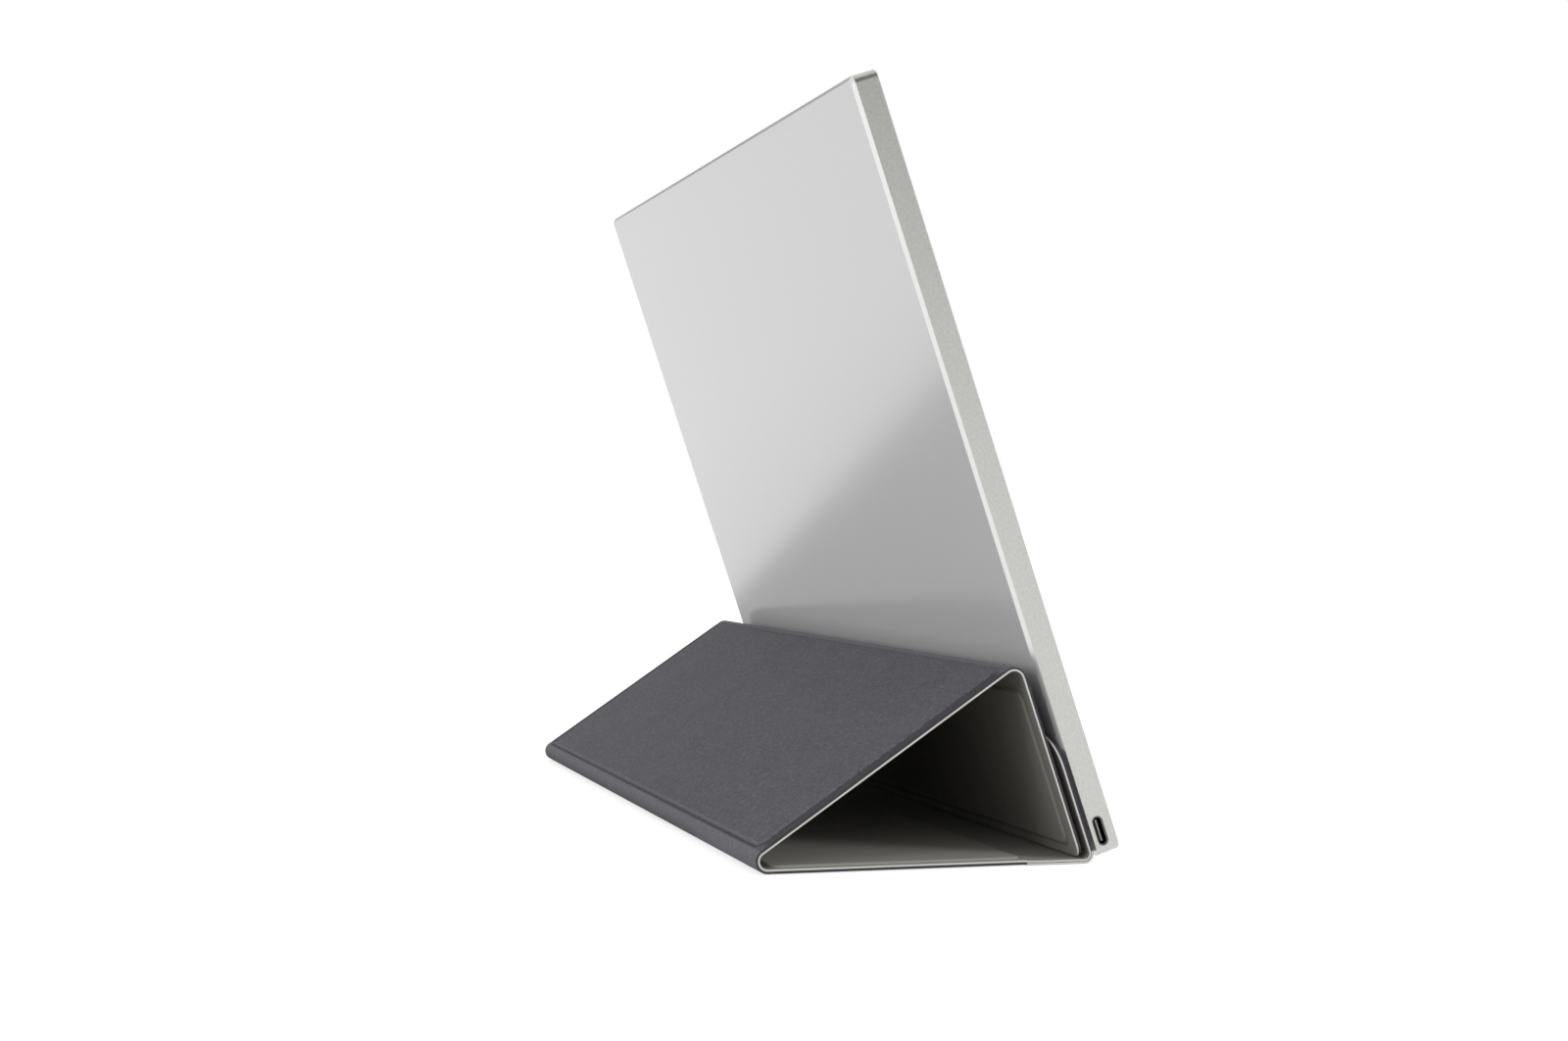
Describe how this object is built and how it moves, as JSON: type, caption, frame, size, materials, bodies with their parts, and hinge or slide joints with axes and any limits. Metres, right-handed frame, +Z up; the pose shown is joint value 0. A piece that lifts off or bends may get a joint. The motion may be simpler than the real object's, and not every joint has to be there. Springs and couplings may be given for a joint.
{
  "type": "portable monitor with cover",
  "caption": "Slim portable monitor with an aluminium back, leaning on its magnetic folio cover folded into a triangular stand.",
  "frame": {"origin": "on the floor, under the middle of the whole object", "axes": "+X along the width, away from the side with the pictured port; +Y behind the screen, towards the stand; +Z up"},
  "size_m": [0.3636, 0.113, 0.2335],
  "materials": {
    "aluminium": "satin silver, bead blasted sides, polished back bevel",
    "glass_front": "gloss black cover glass",
    "leather_outer": "charcoal grained synthetic leather",
    "lining_inner": "warm grey microfibre lining",
    "board_core": "pressed stiffener board",
    "magnet": "nickel plated magnet",
    "steel": "plain steel",
    "circuit_board": "green solder mask",
    "flex_cable": "amber polyimide",
    "black_plastic": "black moulding",
    "white_sheet": "white optical sheet",
    "clear_guide": "clear acrylic light guide",
    "lcd": "dark liquid crystal panel",
    "lamp": "light emitting diodes on a strip",
    "port_metal": "plated port shell"
  },
  "bodies": {
    "floor_panel": {"floor_leather": "leather_outer", "floor_lining": "lining_inner", "floor_board": "board_core", "base_fold_leather": "leather_outer", "base_fold_lining": "lining_inner", "rear_fold_leather": "leather_outer", "rear_fold_lining": "lining_inner"},
    "slant_panel": {"slant_leather": "leather_outer", "slant_lining": "lining_inner", "slant_board": "board_core", "ridge_fold_leather": "leather_outer", "ridge_fold_lining": "lining_inner"},
    "inner_panel": {"inner_leather": "leather_outer", "inner_lining": "lining_inner", "inner_board": "board_core", "inner_magnets": "magnet"},
    "flap": {"flap_leather": "leather_outer", "flap_lining": "lining_inner", "flap_board": "board_core", "flap_magnets": "magnet"},
    "monitor": {"rear_housing": "aluminium", "cover_glass": "glass_front", "glass_tape": "black_plastic", "display_panel": "lcd", "optical_films": "white_sheet", "light_guide": "clear_guide", "reflector_sheet": "white_sheet", "backlight_tray": "steel", "lamp_strip": "lamp", "panel_frame": "black_plastic", "driver_board": "circuit_board", "display_cable": "flex_cable", "main_board": "circuit_board", "side_board": "circuit_board", "side_cable": "flex_cable", "board_screws": "steel", "usb_c_port_near": "port_metal", "usb_c_port_far": "port_metal", "speaker_left": "black_plastic", "speaker_right": "black_plastic", "steel_keeper": "steel"},
    "power_button": {"power_button": "aluminium"},
    "menu_rocker": {"menu_rocker": "aluminium"}
  },
  "joints": [
    {"name": "rear_fold", "type": "hinge", "parent": "floor_panel", "child": "slant_panel", "pos_m": [0, 0.05663, 0.00282], "axis": [-1, 0, 0], "range_deg": [0, 145], "deforming": ["rear_fold_leather", "rear_fold_lining"]},
    {"name": "ridge_fold", "type": "hinge", "parent": "slant_panel", "child": "inner_panel", "pos_m": [0, -0.02299, 0.05685], "axis": [1, 0, 0], "range_deg": [0, 73.91], "deforming": ["ridge_fold_leather", "ridge_fold_lining"]},
    {"name": "base_fold", "type": "hinge", "parent": "floor_panel", "child": "flap", "pos_m": [0, -0.04432, 0.0029], "axis": [1, 0, 0], "range_deg": [0, 18], "deforming": ["base_fold_leather", "base_fold_lining"]},
    {"name": "monitor_lift", "type": "slide", "parent": "flap", "child": "monitor", "axis": [0, 0.3156, 0.9489], "range_m": [0, 0.045]},
    {"name": "power_press", "type": "slide", "parent": "monitor", "child": "power_button", "axis": [-1, 0, 0], "range_m": [0, 0.0006], "stiffness_N_per_m": 250},
    {"name": "menu_rock", "type": "hinge", "parent": "monitor", "child": "menu_rocker", "pos_m": [0.1794, -0.03651, 0.04999], "axis": [0, 0.9489, -0.3156], "range_deg": [-2.5, 2.5], "stiffness_Nm_per_rad": 0.02}
  ],
  "couplings": [
    {"joint": "ridge_fold", "follows": "rear_fold", "ratio": 0.509}
  ]
}
